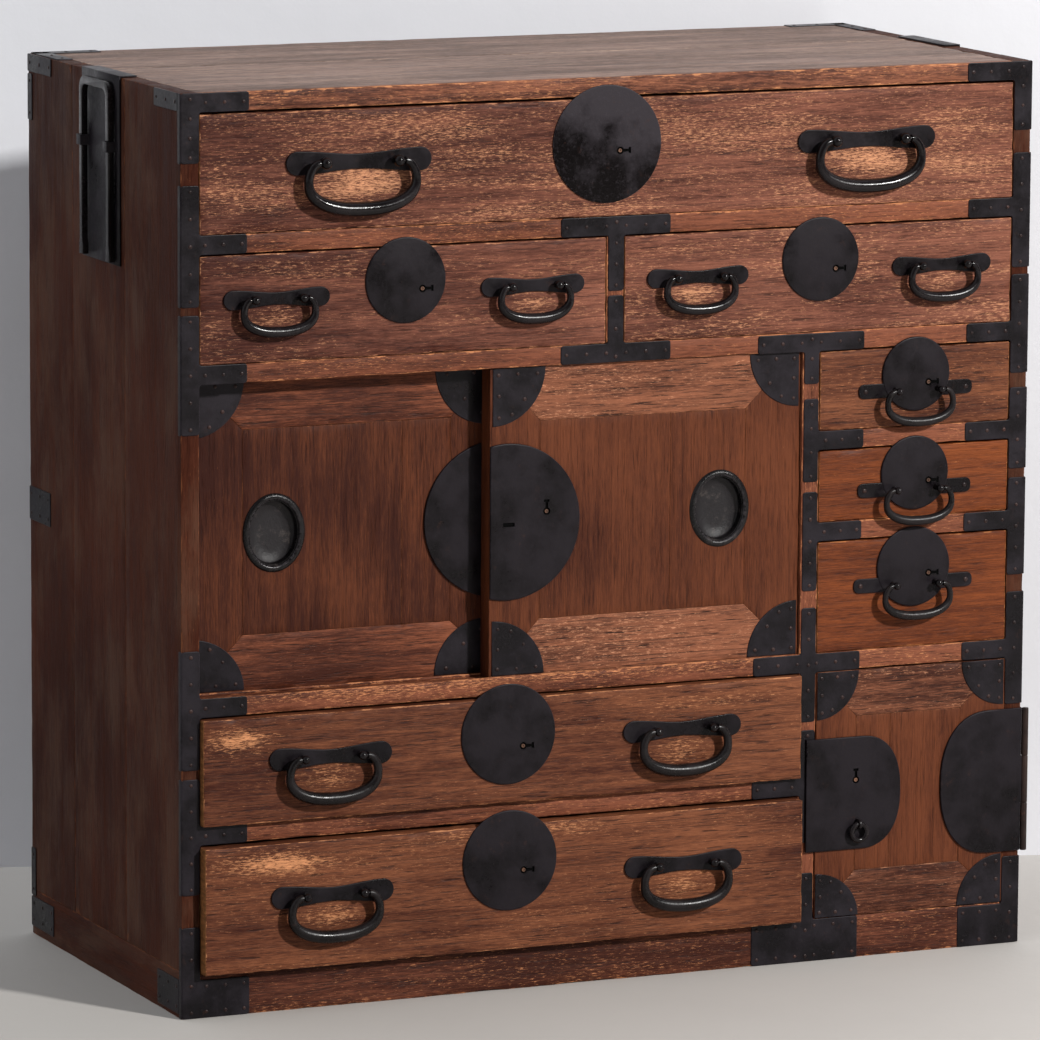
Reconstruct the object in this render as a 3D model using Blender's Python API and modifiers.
"""A free-standing Japanese tansu chest: eight drawers, two sliding doors and a small hinged safe door in a
wooden case, with forged iron lock plates, handles, hinge and carrying loops. Metres, +Z up, front towards -Y."""

import math
from collections import namedtuple

import bmesh
import bpy
from mathutils import Matrix, Vector

# Case: outer sizes, its boards, and the heights of the front's openings
CASE_WIDTH = 0.880
CASE_DEPTH = 0.407
BOARD_THICKNESS = 0.018
BACK_THICKNESS = 0.012
BACK_FLOOR_GAP = 0.004
BASE_RAIL_HEIGHT = 0.042
BASE_RAIL_THICKNESS = 0.020
WIDE_LOWER_OPENING = 0.123
WIDE_UPPER_OPENING = 0.103
DOOR_OPENING = 0.295
MIDDLE_OPENING = 0.103
TOP_OPENING = 0.114
SMALL_2_OPENING = 0.071
SMALL_3_OPENING = 0.1095
COLUMN_OPENING_WIDTH = 0.2055

# Fits shared by all pieces
SEAT_GAP = 0.0003
OVERRUN = 0.002
RUNNING_CLEARANCE = 0.0006
WELD_DISTANCE = 0.00001

# Drawer boxes
DRAWER_FRONT_THICKNESS = 0.016
DRAWER_SIDE_THICKNESS = 0.009
DRAWER_BOTTOM_THICKNESS = 0.007
DRAWER_TOP_CLEARANCE = 0.0012
DRAWER_BACK_CLEARANCE = 0.010
DRAWER_SIDE_INSET = 0.001
DRAWER_SIDE_DROP = 0.010
WIDE_UPPER_PULLED_OUT = 0.008
WIDE_LOWER_PULLED_OUT = 0.013

# Sliding doors, each in its own pair of grooves, and their oval finger pockets
DOOR_THICKNESS = 0.020
DOOR_FRONT_RECESS = 0.004
DOOR_TRACK_WALL = 0.004
DOOR_OVERLAP = 0.030
GROOVE_CLEARANCE = 0.0005
LOWER_GROOVE_DEPTH = 0.003
UPPER_GROOVE_DEPTH = 0.006
UPPER_GROOVE_CLEARANCE = 0.001
POCKET_WIDTH = 0.050
POCKET_HEIGHT = 0.062
POCKET_DEPTH = 0.011
POCKET_FROM_EDGE = 0.085

# Safe door in the lower right corner
SAFE_DOOR_THICKNESS = 0.020
SAFE_DOOR_PROUD = 0.0012

# Iron plates
PLATE_THICKNESS = 0.002
LOCK_PLATE_THICKNESS = 0.0028
LOCK_RIM_CHAMFER = 0.0009
TOP_LOCK_DIAMETER = 0.112
MIDDLE_LOCK_DIAMETER = 0.081
WIDE_LOCK_DIAMETER = 0.097
SMALL_LOCK_DIAMETER = 0.072
SMALL_3_LOCK_DIAMETER = 0.078
TOP_LOCK_OVERHANG = 0.011
TOP_LOCK_SHIFT = -0.0099
MIDDLE_LOCK_OVERHANG = 0.008
WIDE_LOCK_OVERHANG = 0.0125
SMALL_LOCK_OVERHANG = 0.0085
EAR_THICKNESS = 0.0015
EAR_HEIGHT = 0.014
EAR_REACH = 0.025
EAR_CORNER_RADIUS = 0.005
EAR_DROP_SHARE = 0.42
DOOR_LOCK_DIAMETER = 0.150
DOOR_LOCK_HIDDEN_STRIP = 0.006
DOOR_LOCK_PAST_EDGE = 0.0175

# Handles: plate, eyes and bail, in four sizes
TOP_PLATE_LENGTH = 0.146
TOP_PLATE_HEIGHT = 0.0222
TOP_EYE_SPACING = 0.075
TOP_BAIL_WIDTH = 0.119
TOP_BAIL_DROP = 0.051
TOP_BAIL_MIDDLE = 0.0120
MIDDLE_PLATE_LENGTH = 0.106
MIDDLE_PLATE_HEIGHT = 0.0182
MIDDLE_EYE_SPACING = 0.048
MIDDLE_BAIL_WIDTH = 0.078
MIDDLE_BAIL_DROP = 0.036
MIDDLE_BAIL_MIDDLE = 0.0094
WIDE_PLATE_LENGTH = 0.124
WIDE_PLATE_HEIGHT = 0.0212
WIDE_EYE_SPACING = 0.058
WIDE_BAIL_WIDTH = 0.097
WIDE_BAIL_DROP = 0.049
WIDE_BAIL_MIDDLE = 0.0110
SMALL_EYE_SPACING = 0.0455
SMALL_BAIL_WIDTH = 0.076
SMALL_BAIL_DROP = 0.035
SMALL_BAIL_MIDDLE = 0.0080
HANDLE_RISE = 0.008
TOP_HANDLE_RISE = 0.006
BAIL_BACK_GAP = 0.0048
TIP_CLEARANCE = 0.0003
TIP_PAST_EYE = 0.0012
NECK_GAP = 0.0006
WAIST_SHARE = 0.62
BAIL_ARM_SHARE = 0.60
BAIL_WIDEST_SHARE = 0.40
BAIL_SQUARENESS = 2.3
EYE_TO_ARM_SHARE = 1.28
EYE_BORE_SHARE = 0.50
EYE_STEM_SHARE = 0.62
TOP_HANDLE_SPREAD_SHARE = 0.6232
MIDDLE_HANDLE_SPREAD_SHARE = 0.6280
WIDE_HANDLE_SPREAD_SHARE = 0.5860

# Safe door's lock plate, pull ring and hinge
SAFE_LOCK_WIDTH = 0.102
SAFE_LOCK_HEIGHT = 0.111
SAFE_LOCK_OVER_POST = 0.0106
SAFE_LOCK_STRAIGHT_SHARE = 0.58
RING_RADIUS = 0.0080
RING_ROD_RADIUS = 0.0026
RING_EYE_WALL = 0.0015
RING_EYE_THICKNESS = 0.003
RING_EYE_FROM_EDGE = 0.055
RING_EYE_DROP = 0.030
HINGE_LEAF_WIDTH = 0.092
HINGE_LEAF_HEIGHT = 0.142
HINGE_STRAIGHT_SHARE = 0.41
HINGE_CASE_LEAF_WIDTH = 0.020
HINGE_PIN_RADIUS = 0.0016
HINGE_KNUCKLE_RADIUS = 0.0034
HINGE_KNUCKLE_FROM_FRONT = 0.0030
HINGE_KNUCKLES = 3

# Carrying loops that slide up through staples on the two sides
GUIDE_WIDTH = 0.100
GUIDE_HEIGHT = 0.178
GUIDE_THICKNESS = 0.0015
GUIDE_TOP_FLANGE = 0.016
LOOP_WIDTH = 0.078
LOOP_TOP_BELOW_CASE_TOP = 0.005
LOOP_HEIGHT = 0.170
LOOP_BAR_WIDTH = 0.0074
LOOP_BAR_THICKNESS = 0.0060
LOOP_LEG_WIDTH = 0.0064
LOOP_FOOT_WIDTH = 0.0098
LOOP_FOOT_HEIGHT = 0.010
LOOP_CORNER_RADIUS = 0.012
LOOP_STAND_OFF = 0.0012
STAPLE_HEIGHT = 0.010
STAPLE_WALL = 0.0018
STAPLE_BELOW_LOOP_TOP = 0.056
STAPLE_CLEARANCE = 0.0004

# Fineness of round shapes, as counts
DISC_STEPS = 44
ARC_STEPS = 16
CORNER_STEPS = 4
EYE_STEPS = 10
BALL_STEPS = 5
BAIL_STEPS = 5
PIN_STEPS = 12
RING_STEPS = 20
ROD_STEPS = 8

RIGHT_ANGLE = math.pi / 2
SHARP_ANGLE = math.radians(30)

Handle = namedtuple("Handle", "eye_spacing width drop middle")
Drawer = namedtuple("Drawer", "name low_x high_x low_z high_z out lock_diameter lock_overhang")

TOP_HANDLE = Handle(TOP_EYE_SPACING, TOP_BAIL_WIDTH, TOP_BAIL_DROP, TOP_BAIL_MIDDLE)
MIDDLE_HANDLE = Handle(MIDDLE_EYE_SPACING, MIDDLE_BAIL_WIDTH, MIDDLE_BAIL_DROP, MIDDLE_BAIL_MIDDLE)
WIDE_HANDLE = Handle(WIDE_EYE_SPACING, WIDE_BAIL_WIDTH, WIDE_BAIL_DROP, WIDE_BAIL_MIDDLE)
SMALL_HANDLE = Handle(SMALL_EYE_SPACING, SMALL_BAIL_WIDTH, SMALL_BAIL_DROP, SMALL_BAIL_MIDDLE)

# Levels and sides worked out from the sizes above, measured from the middle of the front's lower edge
WIDE_LOWER_Z = BASE_RAIL_HEIGHT
WIDE_LOWER_TOP_Z = WIDE_LOWER_Z + WIDE_LOWER_OPENING
WIDE_UPPER_Z = WIDE_LOWER_TOP_Z + BOARD_THICKNESS
WIDE_UPPER_TOP_Z = WIDE_UPPER_Z + WIDE_UPPER_OPENING
DOOR_Z = WIDE_UPPER_TOP_Z + BOARD_THICKNESS
DOOR_TOP_Z = DOOR_Z + DOOR_OPENING
MIDDLE_Z = DOOR_TOP_Z + BOARD_THICKNESS
MIDDLE_TOP_Z = MIDDLE_Z + MIDDLE_OPENING
TOP_Z = MIDDLE_TOP_Z + BOARD_THICKNESS
TOP_TOP_Z = TOP_Z + TOP_OPENING
CASE_HEIGHT = TOP_TOP_Z + BOARD_THICKNESS
SMALL_3_TOP_Z = DOOR_Z + SMALL_3_OPENING
SMALL_2_Z = SMALL_3_TOP_Z + BOARD_THICKNESS
SMALL_2_TOP_Z = SMALL_2_Z + SMALL_2_OPENING
SMALL_1_Z = SMALL_2_TOP_Z + BOARD_THICKNESS
SIDE_X = CASE_WIDTH / 2
INNER_X = SIDE_X - BOARD_THICKNESS
COLUMN_X = INNER_X - COLUMN_OPENING_WIDTH
POST_X = COLUMN_X - BOARD_THICKNESS
HALF_BOARD = BOARD_THICKNESS / 2
INNER_DEPTH = CASE_DEPTH - BACK_THICKNESS - SEAT_GAP
REAR_DOOR_Y = DOOR_FRONT_RECESS + DOOR_THICKNESS + DOOR_TRACK_WALL
DOOR_WIDTH = (POST_X + INNER_X + DOOR_OVERLAP) / 2 - RUNNING_CLEARANCE


def handle_arm_radius(handle):
    return handle.middle * BAIL_ARM_SHARE / 2


def handle_eye_radius(handle):
    return handle_arm_radius(handle) * EYE_TO_ARM_SHARE


def handle_stand(handle):
    """How far the bail's axis stands in front of the face that carries it."""
    return handle.middle / 2 + BAIL_BACK_GAP


FRONT_REACH = WIDE_LOWER_PULLED_OUT + handle_stand(WIDE_HANDLE) + WIDE_BAIL_MIDDLE / 2
FRONT_Y = (FRONT_REACH - CASE_DEPTH) / 2


def clear_scene():
    for obj in list(bpy.data.objects):
        bpy.data.objects.remove(obj, do_unlink=True)


def new_collection(name):
    collection = bpy.data.collections.new(name)
    bpy.context.scene.collection.children.link(collection)
    return collection


def new_material(name, colour, roughness, metallic):
    material = bpy.data.materials.new(name)
    material.use_nodes = True
    shader = material.node_tree.nodes["Principled BSDF"]
    shader.inputs["Base Color"].default_value = (*colour, 1.0)
    shader.inputs["Roughness"].default_value = roughness
    shader.inputs["Metallic"].default_value = metallic
    return material


clear_scene()
CHEST = new_collection("tansu_chest")
CASE_WOOD = new_material("case_wood", (0.105, 0.050, 0.030), 0.55, 0.0)
TOP_WOOD = new_material("top_wood", (0.230, 0.180, 0.145), 0.60, 0.0)
DRAWER_WOOD = new_material("drawer_wood", (0.190, 0.075, 0.035), 0.50, 0.0)
DOOR_WOOD = new_material("door_wood", (0.170, 0.065, 0.030), 0.50, 0.0)
PLATE_IRON = new_material("plate_iron", (0.030, 0.031, 0.034), 0.45, 0.8)
BAIL_IRON = new_material("bail_iron", (0.018, 0.018, 0.020), 0.30, 0.9)


def new_object(name, mesh):
    obj = bpy.data.objects.new(name, mesh)
    CHEST.objects.link(obj)
    return obj


def place(obj, parent, location, material=None):
    """Hangs a piece on the empty of its body, at a place measured from that empty."""
    obj.parent = parent
    obj.location = location
    if material is not None and not obj.data.materials:
        obj.data.materials.append(material)
    return obj


def body_origin(name, parent, location):
    """An empty that carries the pieces of one body and stands at its joint."""
    return place(new_object(name, None), parent, location)


def mesh_from(name, bm):
    bmesh.ops.recalc_face_normals(bm, faces=bm.faces)
    mesh = bpy.data.meshes.new(name)
    bm.to_mesh(mesh)
    bm.free()
    return mesh


def box(name, low, high):
    """A box between two opposite corners."""
    low, high = Vector(low), Vector(high)
    bm = bmesh.new()
    bmesh.ops.create_cube(bm, size=1.0)
    bmesh.ops.scale(bm, vec=high - low, verts=bm.verts)
    bmesh.ops.translate(bm, vec=(low + high) / 2, verts=bm.verts)
    return new_object(name, mesh_from(name, bm))


def cylinder(name, radius, length, axis, steps, front_radius=None):
    """A cylinder centred on the origin, or a slight cone when front_radius is given."""
    bm = bmesh.new()
    end_radius = radius if front_radius is None else front_radius
    bmesh.ops.create_cone(bm, cap_ends=True, segments=steps, radius1=radius, radius2=end_radius, depth=length)
    turns = {
        "X": Matrix.Rotation(RIGHT_ANGLE, 4, "Y"),
        "Y": Matrix.Rotation(RIGHT_ANGLE, 4, "X"),
        "Z": Matrix.Identity(4),
    }
    bmesh.ops.transform(bm, matrix=turns[axis], verts=bm.verts)
    return new_object(name, mesh_from(name, bm))


def moved(obj, offset):
    obj.data.transform(Matrix.Translation(offset))
    return obj


def evaluated_mesh(obj):
    bpy.context.view_layer.update()
    return bpy.data.meshes.new_from_object(obj.evaluated_get(bpy.context.evaluated_depsgraph_get()))


def boolean(target, tool, operation):
    """Joins or cuts the target by the tool, which is used up."""
    modifier = target.modifiers.new(operation.lower(), "BOOLEAN")
    modifier.operation = operation
    modifier.solver = "EXACT"
    modifier.object = tool
    mesh = evaluated_mesh(target)
    target.modifiers.clear()
    target.data = mesh
    bpy.data.objects.remove(tool, do_unlink=True)
    return target


def join(target, *tools):
    for tool in tools:
        boolean(target, tool, "UNION")
    return target


def cut(target, *tools):
    for tool in tools:
        boolean(target, tool, "DIFFERENCE")
    return target


def mesh_from_curve(name, curve):
    """The closed mesh of a curve, its caps welded on."""
    source = new_object(name, curve)
    mesh = evaluated_mesh(source)
    bpy.data.objects.remove(source, do_unlink=True)
    bm = bmesh.new()
    bm.from_mesh(mesh)
    bmesh.ops.remove_doubles(bm, verts=bm.verts, dist=WELD_DISTANCE)
    return mesh_from(name, bm)


def outline_plate(name, points, thickness):
    """A flat piece: its outline drawn in X and Z, its thickness centred on the XZ plane."""
    curve = bpy.data.curves.new(name, "CURVE")
    curve.dimensions = "2D"
    curve.fill_mode = "BOTH"
    curve.extrude = thickness / 2
    spline = curve.splines.new("POLY")
    spline.points.add(len(points) - 1)
    for point, (x, z) in zip(spline.points, points):
        point.co = (x, z, 0.0, 1.0)
    spline.use_cyclic_u = True
    mesh = mesh_from_curve(name, curve)
    mesh.transform(Matrix.Rotation(RIGHT_ANGLE, 4, "X"))
    return new_object(name, mesh)


def rod_mesh(name, points, radii):
    """A forged rod along a path, with its own radius at each point."""
    curve = bpy.data.curves.new(name, "CURVE")
    curve.dimensions = "3D"
    curve.bevel_depth = 1.0
    curve.bevel_resolution = 2
    curve.use_fill_caps = True
    spline = curve.splines.new("POLY")
    spline.points.add(len(points) - 1)
    for point, place_on_path, radius in zip(spline.points, points, radii):
        point.co = (*place_on_path, 1.0)
        point.radius = radius
    return mesh_from_curve(name, curve)


def arc(centre_x, centre_z, radius_x, radius_z, start, end, steps):
    """Points on an elliptical arc between two angles in radians, both ends included."""
    angles = [start + (end - start) * step / steps for step in range(steps + 1)]
    return [(centre_x + radius_x * math.cos(a), centre_z + radius_z * math.sin(a)) for a in angles]


def rounded_rectangle(width, height, radius):
    """An outline with round corners, centred on the origin."""
    x, z = width / 2 - radius, height / 2 - radius
    points = arc(x, -z, radius, radius, -RIGHT_ANGLE, 0.0, CORNER_STEPS)
    points += arc(x, z, radius, radius, 0.0, RIGHT_ANGLE, CORNER_STEPS)
    points += arc(-x, z, radius, radius, RIGHT_ANGLE, 2 * RIGHT_ANGLE, CORNER_STEPS)
    points += arc(-x, -z, radius, radius, 2 * RIGHT_ANGLE, 3 * RIGHT_ANGLE, CORNER_STEPS)
    return points


def plate_outline(length, height):
    """A handle plate's outline: round lobes at the ends, and a waist between them that follows s²(3 - 2s) with the
    share s of the way from the middle to a lobe."""
    lobe = height / 2
    reach = length / 2 - lobe
    edge = []
    for step in range(ARC_STEPS // 2):
        share = 1 - 2 * step / (ARC_STEPS // 2)
        blend = abs(share) ** 2 * (3 - 2 * abs(share))
        edge.append((share * reach, lobe * (WAIST_SHARE + (1 - WAIST_SHARE) * blend)))
    lower = [(-x, -z) for x, z in edge]
    left = arc(-reach, 0.0, lobe, lobe, RIGHT_ANGLE, 3 * RIGHT_ANGLE, ARC_STEPS // 2)
    right = arc(reach, 0.0, lobe, lobe, -RIGHT_ANGLE, RIGHT_ANGLE, ARC_STEPS // 2)
    return edge[1:] + left + lower[1:] + right


def tongue_outline(width, height, straight_share):
    """A plate that is square at the left and ends in half an ellipse at the right, centred in height."""
    straight = width * straight_share
    tip = arc(straight, 0.0, width - straight, height / 2, -RIGHT_ANGLE, RIGHT_ANGLE, ARC_STEPS)
    return [(0.0, -height / 2)] + tip + [(0.0, height / 2)]


def circle_part_outline(radius, low_x, high_x):
    """The part of a circle between two upright chords."""
    low = max(low_x, -radius)
    high = min(high_x, radius)
    upper = [math.acos(high / radius), math.acos(low / radius)]
    points = arc(0.0, 0.0, radius, radius, upper[0], upper[1], ARC_STEPS)
    back = arc(0.0, 0.0, radius, radius, -upper[1], -upper[0], ARC_STEPS)
    if low == -radius:
        back = back[1:]
    if high == radius:
        back = back[:-1]
    return points + back


def eye_post(name, handle, root_y):
    """A handle's eye: a stem and a ball, bored across for the bail's tip. Its axis crosses the origin."""
    ball = handle_eye_radius(handle)
    stem = ball * EYE_STEM_SHARE
    stand = handle_stand(handle) + root_y
    low = -math.acos(EYE_STEM_SHARE)
    profile = arc(0.0, 0.0, ball, ball, RIGHT_ANGLE, low, BALL_STEPS)
    profile += [(stem, -stand), (0.0, -stand)]
    mesh = bpy.data.meshes.new(name)
    edges = [(step, step + 1) for step in range(len(profile) - 1)]
    mesh.from_pydata([(max(x, 0.0), 0.0, z) for x, z in profile], edges, [])
    obj = new_object(name, mesh)
    screw = obj.modifiers.new("turned", "SCREW")
    screw.steps = EYE_STEPS
    screw.render_steps = EYE_STEPS
    screw.use_merge_vertices = True
    screw.merge_threshold = WELD_DISTANCE
    turned = evaluated_mesh(obj)
    obj.modifiers.clear()
    obj.data = turned
    bm = bmesh.new()
    bm.from_mesh(turned)
    bmesh.ops.remove_doubles(bm, verts=bm.verts, dist=WELD_DISTANCE)
    obj.data = mesh_from(name, bm)
    obj.data.transform(Matrix.Rotation(RIGHT_ANGLE, 4, "X"))
    bore = cylinder("bore", ball * EYE_BORE_SHARE, 2 * (ball + OVERRUN), "X", ROD_STEPS)
    return cut(obj, bore)


def bail_mesh(name, handle):
    """A bail that hangs from its axis at the origin: thin bent ends, and a thick, nearly flat lower bar."""
    arm = handle_arm_radius(handle)
    eye = handle_eye_radius(handle)
    eye_x = handle.eye_spacing / 2
    neck_x = eye_x + eye + NECK_GAP
    wide_x = handle.width / 2 - arm
    drop = handle.drop - handle.middle / 2
    widest_z = -BAIL_WIDEST_SHARE * drop
    power = 2 / BAIL_SQUARENESS
    half = []
    for step in range(BAIL_STEPS + 1):
        angle = RIGHT_ANGLE * step / BAIL_STEPS
        x = wide_x * math.cos(RIGHT_ANGLE - angle) ** power
        z = widest_z - (drop + widest_z) * max(math.cos(angle), 0.0) ** power
        half.append((x, z))
    for step in range(1, BAIL_STEPS + 1):
        angle = RIGHT_ANGLE * step / BAIL_STEPS
        half.append((neck_x + (wide_x - neck_x) * math.cos(angle), widest_z * (1 - math.sin(angle))))
    tip = eye * EYE_BORE_SHARE - TIP_CLEARANCE
    half += [(neck_x - NECK_GAP / 2, 0.0), (eye_x - eye - TIP_PAST_EYE, 0.0)]
    radii = [arm + (handle.middle / 2 - arm) * max(1 - step / BAIL_STEPS, 0.0) for step in range(2 * BAIL_STEPS + 1)]
    radii += [tip, tip]
    path = [(-x, 0.0, z) for x, z in reversed(half[1:])] + [(x, 0.0, z) for x, z in half]
    return rod_mesh(name, path, radii[:0:-1] + radii)


def case_boards(case):
    """The two sides, the top, the back and the base, with seats between them."""
    low = (SEAT_GAP - INNER_X, 0.0)
    side_boards = {
        "side_left": ((-SIDE_X, 0.0, 0.0), (-INNER_X, CASE_DEPTH, CASE_HEIGHT)),
        "side_right": ((INNER_X, 0.0, 0.0), (SIDE_X, CASE_DEPTH, CASE_HEIGHT)),
    }
    for name, (corner, opposite) in side_boards.items():
        place(box(name, corner, opposite), case, (0.0, 0.0, 0.0), CASE_WOOD)
    top = box("top_board", (*low, TOP_TOP_Z), (-low[0], CASE_DEPTH, CASE_HEIGHT))
    place(top, case, (0.0, 0.0, 0.0), TOP_WOOD)
    back_low = (low[0], CASE_DEPTH - BACK_THICKNESS, BACK_FLOOR_GAP)
    back = box("back_board", back_low, (-low[0], CASE_DEPTH, TOP_TOP_Z - SEAT_GAP))
    place(back, case, (0.0, 0.0, 0.0), CASE_WOOD)
    floor_low = BASE_RAIL_HEIGHT - BOARD_THICKNESS
    base = box("base_frame", (*low, floor_low), (-low[0], INNER_DEPTH, BASE_RAIL_HEIGHT))
    rail = box("rail", (*low, 0.0), (-low[0], BASE_RAIL_THICKNESS, BASE_RAIL_HEIGHT))
    place(join(base, rail), case, (0.0, 0.0, 0.0), CASE_WOOD)


def shelf(name, low_x, high_x, low_z):
    """One level board of the case, as deep as the inside of the case."""
    return box(name, (low_x, 0.0, low_z), (high_x, INNER_DEPTH, low_z + BOARD_THICKNESS))


def upright(name, low_x, low_z, high_z):
    """One upright board of the case, as deep as the inside of the case."""
    return box(name, (low_x, 0.0, low_z), (low_x + BOARD_THICKNESS, INNER_DEPTH, high_z))


def door_grooves(low_z, high_z):
    """Cutters for the grooves of the two sliding doors, between two levels."""
    cutters = []
    for front in (DOOR_FRONT_RECESS, REAR_DOOR_Y):
        low = (-INNER_X, front - GROOVE_CLEARANCE, low_z)
        high = (POST_X, front + DOOR_THICKNESS + GROOVE_CLEARANCE, high_z)
        cutters.append(box("groove", low, high))
    return cutters


def case_frames(case):
    """The glued frames between the sides: around the middle row, around the doors, and above the base."""
    left, right = SEAT_GAP - INNER_X, INNER_X - SEAT_GAP
    upper = shelf("upper_frame", left, right, DOOR_TOP_Z)
    join(upper, shelf("shelf", left, right, MIDDLE_TOP_Z))
    join(upper, upright("post", -HALF_BOARD, DOOR_TOP_Z + HALF_BOARD, MIDDLE_TOP_Z + HALF_BOARD))
    cut(upper, *door_grooves(DOOR_TOP_Z - OVERRUN, DOOR_TOP_Z + UPPER_GROOVE_DEPTH))
    place(upper, case, (0.0, 0.0, 0.0), CASE_WOOD)

    middle = shelf("middle_frame", left, right, WIDE_UPPER_TOP_Z)
    join(middle, upright("post", POST_X, WIDE_UPPER_TOP_Z + HALF_BOARD, DOOR_TOP_Z - SEAT_GAP))
    for level in (SMALL_3_TOP_Z, SMALL_2_TOP_Z):
        join(middle, shelf("shelf", POST_X + HALF_BOARD, right, level))
    cut(middle, *door_grooves(DOOR_Z - LOWER_GROOVE_DEPTH, DOOR_Z + OVERRUN))
    place(middle, case, (0.0, 0.0, 0.0), CASE_WOOD)

    lower = upright("lower_frame", POST_X, BASE_RAIL_HEIGHT + SEAT_GAP, WIDE_UPPER_TOP_Z - SEAT_GAP)
    join(lower, shelf("shelf", left, POST_X + HALF_BOARD, WIDE_LOWER_TOP_Z))
    place(lower, case, (0.0, 0.0, 0.0), CASE_WOOD)


def drawer_box(drawer, parent):
    """A drawer: a front that fills its opening and a lower, narrower box behind it. Its origin is the empty
    at the middle of the front's lower edge."""
    half = (drawer.high_x - drawer.low_x) / 2 - RUNNING_CLEARANCE
    height = drawer.high_z - drawer.low_z - DRAWER_TOP_CLEARANCE
    depth = INNER_DEPTH - DRAWER_BACK_CLEARANCE
    body_half = half - DRAWER_SIDE_INSET
    body_height = height - DRAWER_SIDE_DROP
    front = box("drawer_" + drawer.name, (-half, 0.0, SEAT_GAP), (half, DRAWER_FRONT_THICKNESS, height))
    body = box("body", (-body_half, DRAWER_FRONT_THICKNESS / 2, SEAT_GAP), (body_half, depth, body_height))
    inner_half = body_half - DRAWER_SIDE_THICKNESS
    inner_low = (-inner_half, DRAWER_FRONT_THICKNESS, DRAWER_BOTTOM_THICKNESS)
    inner_high = (inner_half, depth - DRAWER_SIDE_THICKNESS, height + OVERRUN)
    join(front, body)
    cut(front, box("inside", inner_low, inner_high))
    place(front, parent, (0.0, 0.0, 0.0), DRAWER_WOOD)


def lock_disc(name, drawer):
    """A drawer's round lock plate, slightly chamfered, its back on the XZ plane."""
    radius = drawer.lock_diameter / 2
    disc = cylinder(name, radius, LOCK_PLATE_THICKNESS, "Y", DISC_STEPS, radius - LOCK_RIM_CHAMFER)
    return moved(disc, (0.0, -LOCK_PLATE_THICKNESS / 2, 0.0))


def lock_centre_z(drawer):
    """The lock plate's centre above the drawer's lower edge: its rim laps over the rail above the drawer."""
    return drawer.high_z - drawer.low_z + drawer.lock_overhang - drawer.lock_diameter / 2


def handle_plate(name, handle, length, height):
    """A handle's back plate with its two eyes, its origin on the bail's axis."""
    stand = handle_stand(handle)
    plate = outline_plate(name, plate_outline(length, height), PLATE_THICKNESS)
    moved(plate, (0.0, stand - SEAT_GAP - PLATE_THICKNESS / 2, 0.0))
    for side in (-1, 1):
        post = eye_post("eye", handle, -SEAT_GAP - PLATE_THICKNESS / 2)
        join(plate, moved(post, (side * handle.eye_spacing / 2, 0.0, 0.0)))
    return plate


def large_drawer(case, drawer, handle, plate_length, plate_height, spread_share, rise=HANDLE_RISE, lock_shift=0.0):
    """A drawer with a round lock plate in its middle, or a little beside it, and two handles."""
    middle_x = (drawer.low_x + drawer.high_x) / 2
    body = body_origin("drawer_" + drawer.name + "_body", case, (middle_x, -drawer.out, drawer.low_z))
    drawer_box(drawer, body)
    lock = lock_disc("lock_plate_" + drawer.name, drawer)
    place(lock, body, (lock_shift, -SEAT_GAP, lock_centre_z(drawer)), PLATE_IRON)
    spread = (drawer.high_x - drawer.low_x) * spread_share / 2
    axis_z = (drawer.high_z - drawer.low_z) / 2 + rise
    bail = bail_mesh("bail_" + drawer.name, handle)
    for letter, side in (("a", -1), ("b", 1)):
        axis = (side * spread, -handle_stand(handle), axis_z)
        plate = handle_plate(f"handle_plate_{drawer.name}_{letter}", handle, plate_length, plate_height)
        place(plate, body, axis, PLATE_IRON)
        place(new_object(f"bail_{drawer.name}_{letter}", bail), body, axis, BAIL_IRON)


def small_drawer(case, drawer):
    """A small drawer whose lock plate has two nailed ears and carries the handle's eyes."""
    middle_x = (drawer.low_x + drawer.high_x) / 2
    body = body_origin("drawer_" + drawer.name + "_body", case, (middle_x, -drawer.out, drawer.low_z))
    drawer_box(drawer, body)
    handle = SMALL_HANDLE
    drop = drawer.lock_diameter / 2 * EAR_DROP_SHARE
    width = drawer.lock_diameter + 2 * EAR_REACH
    ears = rounded_rectangle(width, EAR_HEIGHT, EAR_CORNER_RADIUS)
    plate = outline_plate("lock_plate_" + drawer.name, ears, EAR_THICKNESS)
    moved(plate, (0.0, -EAR_THICKNESS / 2, 0.0))
    disc = lock_disc("disc", drawer)
    join(plate, moved(disc, (0.0, -EAR_THICKNESS / 2, drop)))
    front = EAR_THICKNESS / 2 + LOCK_PLATE_THICKNESS
    axis_y = -front - handle_stand(handle)
    for side in (-1, 1):
        post = eye_post("eye", handle, front / 2)
        join(plate, moved(post, (side * handle.eye_spacing / 2, axis_y, 0.0)))
    axis_z = lock_centre_z(drawer) - drop
    place(plate, body, (0.0, -SEAT_GAP, axis_z), PLATE_IRON)
    bail = new_object("bail_" + drawer.name, bail_mesh("bail_" + drawer.name, handle))
    place(bail, body, (0.0, axis_y - SEAT_GAP, axis_z), BAIL_IRON)


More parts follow.
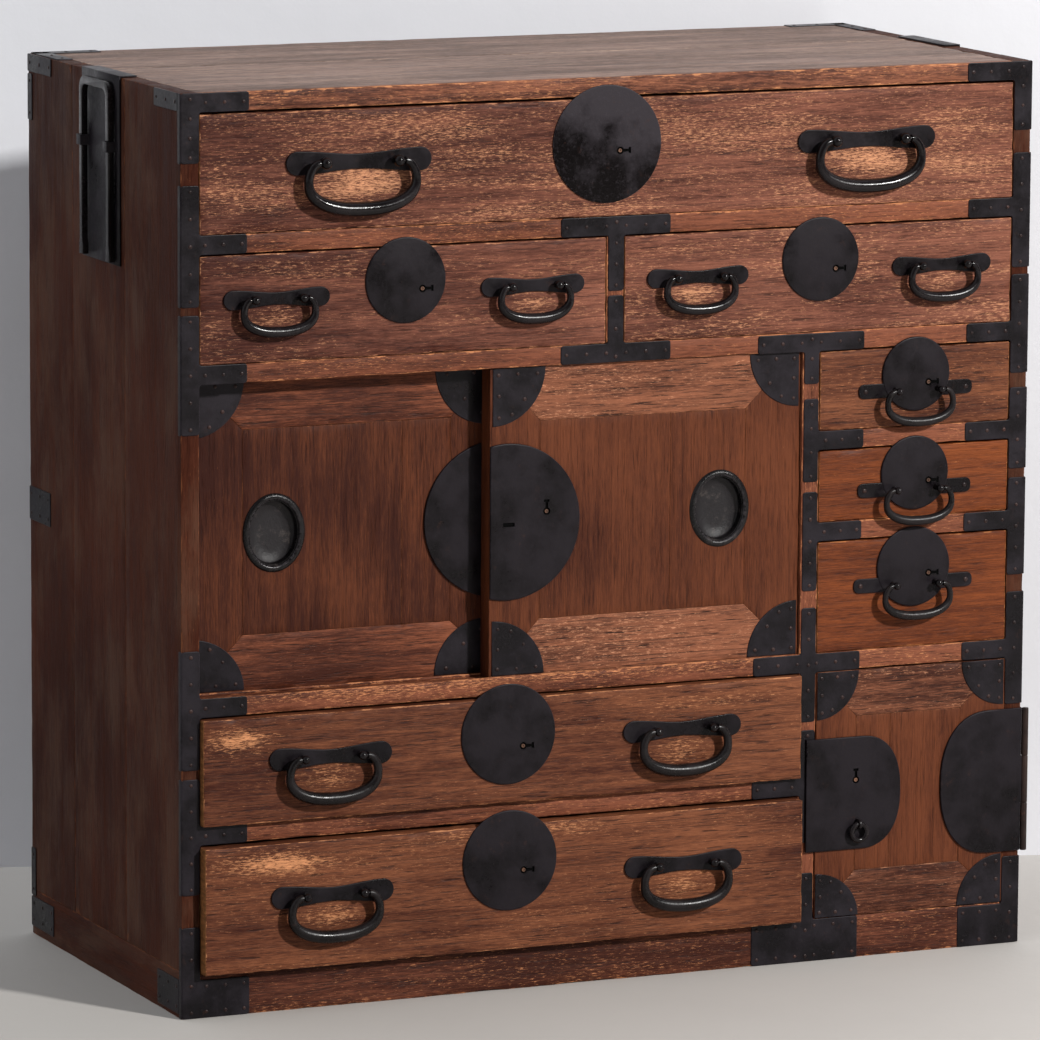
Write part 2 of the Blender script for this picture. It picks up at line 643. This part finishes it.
def drawers(case):
    """The eight drawers with their fittings."""
    top = Drawer("top", -INNER_X, INNER_X, TOP_Z, TOP_TOP_Z, 0.0, TOP_LOCK_DIAMETER, TOP_LOCK_OVERHANG)
    sizes = (TOP_PLATE_LENGTH, TOP_PLATE_HEIGHT, TOP_HANDLE_SPREAD_SHARE)
    large_drawer(case, top, TOP_HANDLE, *sizes, TOP_HANDLE_RISE, TOP_LOCK_SHIFT)
    sides = (("middle_left", -INNER_X, -HALF_BOARD), ("middle_right", HALF_BOARD, INNER_X))
    for name, low_x, high_x in sides:
        middle = Drawer(name, low_x, high_x, MIDDLE_Z, MIDDLE_TOP_Z, 0.0, MIDDLE_LOCK_DIAMETER, MIDDLE_LOCK_OVERHANG)
        sizes = (MIDDLE_PLATE_LENGTH, MIDDLE_PLATE_HEIGHT, MIDDLE_HANDLE_SPREAD_SHARE)
        large_drawer(case, middle, MIDDLE_HANDLE, *sizes)
    wide_rows = (
        ("wide_upper", WIDE_UPPER_Z, WIDE_UPPER_TOP_Z, WIDE_UPPER_PULLED_OUT),
        ("wide_lower", WIDE_LOWER_Z, WIDE_LOWER_TOP_Z, WIDE_LOWER_PULLED_OUT),
    )
    for name, low_z, high_z, out in wide_rows:
        wide = Drawer(name, -INNER_X, POST_X, low_z, high_z, out, WIDE_LOCK_DIAMETER, WIDE_LOCK_OVERHANG)
        large_drawer(case, wide, WIDE_HANDLE, WIDE_PLATE_LENGTH, WIDE_PLATE_HEIGHT, WIDE_HANDLE_SPREAD_SHARE)
    small_rows = (
        ("small_1", SMALL_1_Z, DOOR_TOP_Z, SMALL_LOCK_DIAMETER),
        ("small_2", SMALL_2_Z, SMALL_2_TOP_Z, SMALL_LOCK_DIAMETER),
        ("small_3", DOOR_Z, SMALL_3_TOP_Z, SMALL_3_LOCK_DIAMETER),
    )
    for name, low_z, high_z, diameter in small_rows:
        small_drawer(case, Drawer(name, COLUMN_X, INNER_X, low_z, high_z, 0.0, diameter, SMALL_LOCK_OVERHANG))


def sliding_door(case, name, low_x, front_y, pocket_x, plate_low, plate_high):
    """A sliding door with its finger pocket and its share of the round lock plate over the doors' overlap."""
    low_z = DOOR_Z - LOWER_GROOVE_DEPTH + SEAT_GAP
    height = DOOR_TOP_Z + UPPER_GROOVE_DEPTH - UPPER_GROOVE_CLEARANCE - low_z
    body = body_origin(name + "_body", case, (low_x, front_y, low_z))
    door = box(name, (0.0, 0.0, 0.0), (DOOR_WIDTH, DOOR_THICKNESS, height))
    middle_z = (DOOR_Z + DOOR_TOP_Z) / 2 - low_z
    pocket = arc(0.0, 0.0, POCKET_WIDTH / 2, POCKET_HEIGHT / 2, 0.0, 4 * RIGHT_ANGLE, DISC_STEPS // 2)[1:]
    cutter = outline_plate("pocket", pocket, 2 * POCKET_DEPTH)
    place(cut(door, moved(cutter, (pocket_x, 0.0, middle_z))), body, (0.0, 0.0, 0.0), DOOR_WOOD)
    outline = circle_part_outline(DOOR_LOCK_DIAMETER / 2, plate_low, plate_high)
    plate = outline_plate("lock_plate_" + name, outline, LOCK_PLATE_THICKNESS)
    plate_y = -SEAT_GAP - LOCK_PLATE_THICKNESS / 2
    lock_x = FRONT_DOOR_X + DOOR_LOCK_PAST_EDGE - low_x
    place(plate, body, (lock_x, plate_y, middle_z), PLATE_IRON)


FRONT_DOOR_X = POST_X - RUNNING_CLEARANCE - DOOR_WIDTH
REAR_DOOR_X = RUNNING_CLEARANCE - INNER_X


def sliding_doors(case):
    """The rear door, closed to the left, and the front door, closed to the right."""
    radius = DOOR_LOCK_DIAMETER / 2
    edge = -DOOR_LOCK_PAST_EDGE
    rear_high = edge + DOOR_LOCK_HIDDEN_STRIP
    sliding_door(case, "door_rear", REAR_DOOR_X, REAR_DOOR_Y, POCKET_FROM_EDGE, -radius, rear_high)
    front_pocket = DOOR_WIDTH - POCKET_FROM_EDGE
    sliding_door(case, "door_front", FRONT_DOOR_X, DOOR_FRONT_RECESS, front_pocket, edge, radius)


def safe_lock_plate(body, door_left, middle_z, face_y):
    """The safe's lock plate, which laps over the post, with the eye of its pull ring."""
    outline = tongue_outline(SAFE_LOCK_WIDTH, SAFE_LOCK_HEIGHT, SAFE_LOCK_STRAIGHT_SHARE)
    plate = outline_plate("safe_lock_plate", outline, LOCK_PLATE_THICKNESS)
    eye_bore = RING_ROD_RADIUS + 2 * TIP_CLEARANCE
    eye_radius = eye_bore + RING_EYE_WALL
    eye_y = -LOCK_PLATE_THICKNESS / 2 - eye_radius
    eye_outline = arc(0.0, 0.0, eye_radius, eye_radius, -RIGHT_ANGLE, RIGHT_ANGLE, BALL_STEPS)
    eye_outline += [(eye_y, eye_radius), (eye_y, -eye_radius)]
    eye = outline_plate("eye", eye_outline, RING_EYE_THICKNESS)
    eye.data.transform(Matrix.Rotation(-RIGHT_ANGLE, 4, "Z"))
    cut(eye, cylinder("bore", eye_bore, RING_EYE_THICKNESS + OVERRUN, "X", PIN_STEPS))
    join(plate, moved(eye, (RING_EYE_FROM_EDGE, eye_y, -RING_EYE_DROP)))
    plate_x = door_left - SAFE_LOCK_OVER_POST
    plate_y = face_y - SEAT_GAP - LOCK_PLATE_THICKNESS / 2
    place(plate, body, (plate_x, plate_y, middle_z), PLATE_IRON)
    ring_place = (plate_x + RING_EYE_FROM_EDGE, plate_y + eye_y, middle_z - RING_EYE_DROP)
    angles = [4 * RIGHT_ANGLE * step / RING_STEPS for step in range(RING_STEPS)]
    points = [(RING_RADIUS * math.sin(a), 0.0, RING_RADIUS * (math.cos(a) - 1)) for a in angles]
    place(new_object("safe_ring", ring_mesh(points)), body, ring_place, BAIL_IRON)


def ring_mesh(points):
    """A closed round rod through the points."""
    curve = bpy.data.curves.new("safe_ring", "CURVE")
    curve.dimensions = "3D"
    curve.bevel_depth = RING_ROD_RADIUS
    curve.bevel_resolution = 2
    spline = curve.splines.new("POLY")
    spline.points.add(len(points) - 1)
    for point, place_on_ring in zip(spline.points, points):
        point.co = (*place_on_ring, 1.0)
    spline.use_cyclic_u = True
    return mesh_from_curve("safe_ring", curve)


def safe_hinge(case, body, pivot, middle_z, face_y):
    """The safe's hinge: a broad leaf on the door and a narrow one on the case's side, with its pin."""
    knuckle = HINGE_LEAF_HEIGHT / HINGE_KNUCKLES
    leaf_y = face_y - SEAT_GAP - LOCK_PLATE_THICKNESS / 2 - pivot.y
    outline = tongue_outline(HINGE_LEAF_WIDTH, HINGE_LEAF_HEIGHT, HINGE_STRAIGHT_SHARE)
    leaf = outline_plate("safe_hinge_door_leaf", [(-x, -z) for x, z in outline], LOCK_PLATE_THICKNESS)
    moved(leaf, (0.0, leaf_y, middle_z))
    gap_low = (-HINGE_KNUCKLE_RADIUS - SEAT_GAP, -HINGE_KNUCKLE_RADIUS - OVERRUN, 0.0)
    gap_high = (OVERRUN, HINGE_KNUCKLE_RADIUS + OVERRUN, knuckle + OVERRUN)
    for low_z in (knuckle / 2 - SEAT_GAP, SEAT_GAP - OVERRUN - HINGE_LEAF_HEIGHT / 2):
        cut(leaf, moved(box("gap", gap_low, gap_high), (0.0, 0.0, middle_z + low_z)))
    barrel = cylinder("barrel", HINGE_KNUCKLE_RADIUS, knuckle - 2 * SEAT_GAP, "Z", PIN_STEPS)
    join(leaf, moved(barrel, (0.0, 0.0, middle_z)))
    bore = cylinder("bore", HINGE_PIN_RADIUS + TIP_CLEARANCE, knuckle + OVERRUN, "Z", PIN_STEPS)
    cut(leaf, moved(bore, (0.0, 0.0, middle_z)))
    place(leaf, body, (0.0, 0.0, 0.0), PLATE_IRON)

    side_gap = SIDE_X + SEAT_GAP - pivot.x
    case_low = (side_gap, 0.0, middle_z - HINGE_LEAF_HEIGHT / 2)
    case_high = (side_gap + GUIDE_THICKNESS, HINGE_CASE_LEAF_WIDTH, middle_z + HINGE_LEAF_HEIGHT / 2)
    case_leaf = box("safe_hinge_case_leaf", case_low, case_high)
    window_low = (side_gap - OVERRUN, -OVERRUN, middle_z - knuckle / 2)
    window_high = (side_gap + GUIDE_THICKNESS + OVERRUN, HINGE_KNUCKLE_RADIUS + SEAT_GAP, middle_z + knuckle / 2)
    cut(case_leaf, box("window", window_low, window_high))
    for side in (-1, 1):
        barrel = cylinder("barrel", HINGE_KNUCKLE_RADIUS, knuckle, "Z", PIN_STEPS)
        join(case_leaf, moved(barrel, (0.0, 0.0, middle_z + side * knuckle)))
    pin = cylinder("pin", HINGE_PIN_RADIUS, HINGE_LEAF_HEIGHT - knuckle, "Z", PIN_STEPS)
    join(case_leaf, moved(pin, (0.0, 0.0, middle_z)))
    place(case_leaf, case, pivot, PLATE_IRON)


def safe_door(case):
    """The hinged door of the safe, which turns about a pin at the case's right front corner."""
    pivot_x = SIDE_X + HINGE_KNUCKLE_RADIUS + SEAT_GAP
    pivot = Vector((pivot_x, -HINGE_KNUCKLE_FROM_FRONT, 0.0))
    body = body_origin("safe_door_body", case, pivot)
    low_z = BASE_RAIL_HEIGHT + SEAT_GAP
    high_z = WIDE_UPPER_TOP_Z - DRAWER_TOP_CLEARANCE
    left = COLUMN_X + RUNNING_CLEARANCE - pivot.x
    right = INNER_X - RUNNING_CLEARANCE - pivot.x
    face_y = -SAFE_DOOR_PROUD - pivot.y
    door = box("safe_door", (left, face_y, low_z), (right, face_y + SAFE_DOOR_THICKNESS, high_z))
    place(door, body, (0.0, 0.0, 0.0), DOOR_WOOD)
    middle_z = (BASE_RAIL_HEIGHT + WIDE_UPPER_TOP_Z) / 2
    safe_lock_plate(body, COLUMN_X - pivot.x, middle_z, face_y)
    safe_hinge(case, body, pivot, middle_z, -SAFE_DOOR_PROUD)


def loop_outline():
    """A carrying loop in the plane of the case's side: an arch whose legs thin below a shoulder and end in feet.
    Its origin is the middle of its top edge, and the shoulders sit just above the staples."""
    outer = LOOP_WIDTH / 2
    inner = outer - LOOP_BAR_WIDTH
    corner = LOOP_CORNER_RADIUS
    inner_corner = corner - LOOP_BAR_WIDTH / 2
    leg_middle = outer - LOOP_BAR_WIDTH / 2
    shoulder = -STAPLE_BELOW_LOOP_TOP + SEAT_GAP
    foot = -LOOP_HEIGHT + LOOP_FOOT_HEIGHT
    leg = [
        (outer, shoulder),
        (leg_middle + LOOP_LEG_WIDTH / 2, shoulder),
        (leg_middle + LOOP_LEG_WIDTH / 2, foot + LOOP_FOOT_HEIGHT / 2),
        (leg_middle + LOOP_FOOT_WIDTH / 2, foot),
        (leg_middle + LOOP_FOOT_WIDTH / 2, -LOOP_HEIGHT),
        (leg_middle - LOOP_FOOT_WIDTH / 2, -LOOP_HEIGHT),
        (leg_middle - LOOP_FOOT_WIDTH / 2, foot),
        (leg_middle - LOOP_LEG_WIDTH / 2, foot + LOOP_FOOT_HEIGHT / 2),
        (leg_middle - LOOP_LEG_WIDTH / 2, shoulder),
        (inner, shoulder),
    ]
    outer_arc = arc(outer - corner, -corner, corner, corner, RIGHT_ANGLE, 0.0, CORNER_STEPS)
    inner_z = -LOOP_BAR_WIDTH - inner_corner
    inner_arc = arc(inner - inner_corner, inner_z, inner_corner, inner_corner, 0.0, RIGHT_ANGLE, CORNER_STEPS)
    right = outer_arc + leg + inner_arc
    return right + [(-y, z) for y, z in reversed(right)]


def carrying_loop(case, side_name, side):
    """One carrying loop and its guide plate, on the left (side -1) or right (side 1) of the case."""
    face_x = side * (SIDE_X + SEAT_GAP)
    middle_y = CASE_DEPTH / 2
    outside = side * GUIDE_THICKNESS
    plate_low = (min(0.0, outside), -GUIDE_WIDTH / 2, -GUIDE_HEIGHT)
    plate_high = (max(0.0, outside), GUIDE_WIDTH / 2, SEAT_GAP + GUIDE_THICKNESS)
    guide = box("pole_guide_" + side_name, plate_low, plate_high)
    flange = side * (SEAT_GAP + GUIDE_TOP_FLANGE)
    flange_low = (min(outside, -flange), -GUIDE_WIDTH / 2, SEAT_GAP)
    flange_high = (max(outside, -flange), GUIDE_WIDTH / 2, SEAT_GAP + GUIDE_THICKNESS)
    join(guide, box("flange", flange_low, flange_high))
    bar_low = GUIDE_THICKNESS + LOOP_STAND_OFF
    staple_out = bar_low + LOOP_BAR_THICKNESS + STAPLE_CLEARANCE + STAPLE_WALL
    leg_y = (LOOP_WIDTH - LOOP_BAR_WIDTH) / 2
    hole = LOOP_LEG_WIDTH / 2 + STAPLE_CLEARANCE
    staple_top = -LOOP_TOP_BELOW_CASE_TOP - STAPLE_BELOW_LOOP_TOP
    for leg in (-leg_y, leg_y):
        xs = sorted((side * GUIDE_THICKNESS / 2, side * staple_out))
        low = (xs[0], leg - hole - STAPLE_WALL, staple_top - STAPLE_HEIGHT)
        staple = box("staple", low, (xs[1], leg + hole + STAPLE_WALL, staple_top))
        hole_xs = sorted((side * (bar_low - STAPLE_CLEARANCE), side * (staple_out - STAPLE_WALL)))
        hole_low = (hole_xs[0], leg - hole, staple_top - STAPLE_HEIGHT - OVERRUN)
        cut(staple, box("slot", hole_low, (hole_xs[1], leg + hole, staple_top + OVERRUN)))
        join(guide, staple)
    place(guide, case, (face_x, middle_y, CASE_HEIGHT), PLATE_IRON)
    loop = outline_plate("pole_loop_" + side_name, loop_outline(), LOOP_BAR_THICKNESS)
    loop.data.transform(Matrix.Rotation(RIGHT_ANGLE, 4, "Z"))
    loop_x = face_x + side * (bar_low + LOOP_BAR_THICKNESS / 2)
    place(loop, case, (loop_x, middle_y, CASE_HEIGHT - LOOP_TOP_BELOW_CASE_TOP), BAIL_IRON)


def shade_round_pieces():
    """Smooth shading with the real edges kept sharp."""
    for obj in CHEST.objects:
        if obj.type == "MESH":
            obj.data.shade_smooth()
            obj.data.set_sharp_from_angle(angle=SHARP_ANGLE)


def tansu_chest():
    case = body_origin("case", None, (0.0, FRONT_Y, 0.0))
    case_boards(case)
    case_frames(case)
    drawers(case)
    sliding_doors(case)
    safe_door(case)
    for side_name, side in (("left", -1), ("right", 1)):
        carrying_loop(case, side_name, side)
    shade_round_pieces()


tansu_chest()
